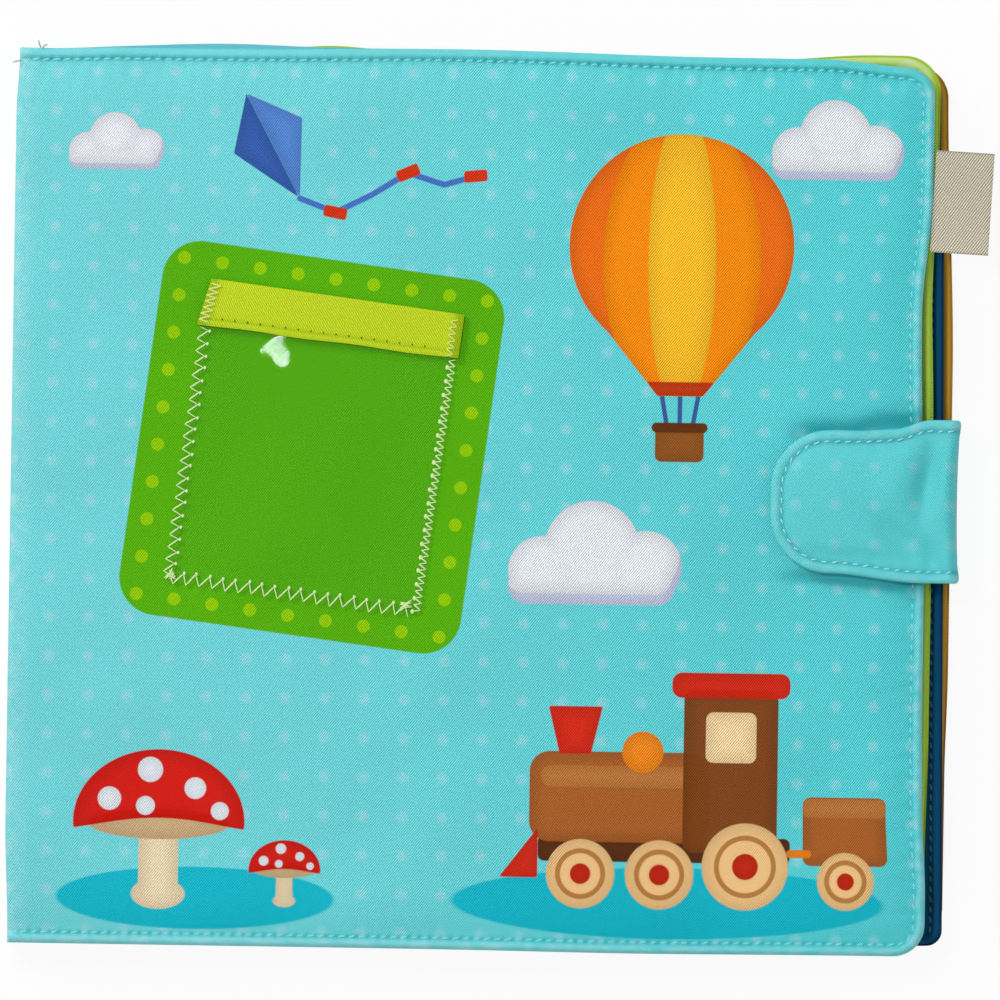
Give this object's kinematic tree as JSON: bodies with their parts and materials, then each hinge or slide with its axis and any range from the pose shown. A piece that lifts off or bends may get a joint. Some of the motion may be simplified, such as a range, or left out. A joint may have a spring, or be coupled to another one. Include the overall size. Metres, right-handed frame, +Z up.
{
  "type": "soft photo album",
  "caption": "Padded cloth photo album that lies closed, with covers and leaves hinged on a cloth spine, clear-window photo pockets, a fold-over closure tab and a plain side label.",
  "frame": {"origin": "on the surface it lies on, under the middle of the whole album's box", "axes": "+X from the spine to the fore-edge, +Y to the top of the pages, +Z up out of the front cover"},
  "size_m": [0.2166, 0.1998, 0.0303],
  "materials": {
    "cover_cloth": "satin twill with a printed dot",
    "cover_lining": "plain satin twill",
    "leaf_lime": "satin twill",
    "leaf_blue": "satin twill",
    "leaf_ochre": "satin twill",
    "wadding": "polyester wadding",
    "clear_vinyl": "clear and glossy",
    "ribbon": "twill ribbon",
    "label_tape": "woven herringbone tape",
    "hook_and_loop": "hook and loop tape"
  },
  "bodies": {
    "back_cover": {"back_cover_cloth": "cover_cloth", "back_cover_wadding": "wadding", "back_cover_lining": "cover_lining", "back_inner_window": "clear_vinyl", "back_inner_ribbon": "ribbon", "spine_cloth_back": "cover_cloth", "spine_lining_back": "cover_lining", "tab_root": "cover_cloth"},
    "leaf_3": {"leaf_3_front_cloth": "leaf_ochre", "leaf_3_wadding": "wadding", "leaf_3_back_cloth": "leaf_ochre", "leaf_3_front_window": "clear_vinyl", "leaf_3_front_ribbon": "ribbon", "leaf_3_back_window": "clear_vinyl", "leaf_3_back_ribbon": "ribbon", "spine_cloth_leaf_3": "cover_cloth", "spine_lining_leaf_3": "cover_lining"},
    "leaf_2": {"leaf_2_front_cloth": "leaf_blue", "leaf_2_wadding": "wadding", "leaf_2_back_cloth": "leaf_blue", "leaf_2_front_window": "clear_vinyl", "leaf_2_front_ribbon": "ribbon", "leaf_2_back_window": "clear_vinyl", "leaf_2_back_ribbon": "ribbon", "spine_cloth_leaf_2": "cover_cloth", "spine_lining_leaf_2": "cover_lining"},
    "leaf_1": {"leaf_1_front_cloth": "leaf_lime", "leaf_1_wadding": "wadding", "leaf_1_back_cloth": "leaf_lime", "leaf_1_front_window": "clear_vinyl", "leaf_1_front_ribbon": "ribbon", "leaf_1_back_window": "clear_vinyl", "leaf_1_back_ribbon": "ribbon", "spine_cloth_leaf_1": "cover_cloth", "spine_lining_leaf_1": "cover_lining"},
    "front_cover": {"front_cover_cloth": "cover_cloth", "front_cover_wadding": "wadding", "front_cover_lining": "cover_lining", "front_pocket_window": "clear_vinyl", "front_pocket_ribbon": "ribbon", "front_inner_window": "clear_vinyl", "front_inner_ribbon": "ribbon", "cover_loop_patch": "hook_and_loop", "side_label": "label_tape"},
    "tab_wrap": {"tab_wrap_cloth": "cover_cloth", "tab_wrap_lining": "cover_lining"},
    "tab_end": {"tab_end_cloth": "cover_cloth", "tab_end_lining": "cover_lining", "tab_hook_patch": "hook_and_loop"}
  },
  "joints": [
    {"name": "leaf_3_turn", "type": "hinge", "parent": "back_cover", "child": "leaf_3", "pos_m": [-0.10826, 0, 0.0081], "axis": [0, -1, 0], "range_deg": [0, 30]},
    {"name": "leaf_2_turn", "type": "hinge", "parent": "leaf_3", "child": "leaf_2", "pos_m": [-0.10826, 0, 0.0134], "axis": [0, -1, 0], "range_deg": [0, 30]},
    {"name": "leaf_1_turn", "type": "hinge", "parent": "leaf_2", "child": "leaf_1", "pos_m": [-0.10826, 0, 0.0187], "axis": [0, -1, 0], "range_deg": [0, 30]},
    {"name": "front_cover_turn", "type": "hinge", "parent": "leaf_1", "child": "front_cover", "pos_m": [-0.10826, 0, 0.0248], "axis": [0, -1, 0], "range_deg": [0, 90]},
    {"name": "tab_wrap_fold", "type": "hinge", "parent": "back_cover", "child": "tab_wrap", "pos_m": [0.10214, 0, 0.00115], "axis": [0, 1, 0], "range_deg": [0, 90]},
    {"name": "tab_end_lift", "type": "hinge", "parent": "tab_wrap", "child": "tab_end", "pos_m": [0.10214, 0, 0.03035], "axis": [0, 1, 0], "range_deg": [0, 90], "deforming": ["tab_end_cloth", "tab_end_lining", "tab_hook_patch"]}
  ]
}
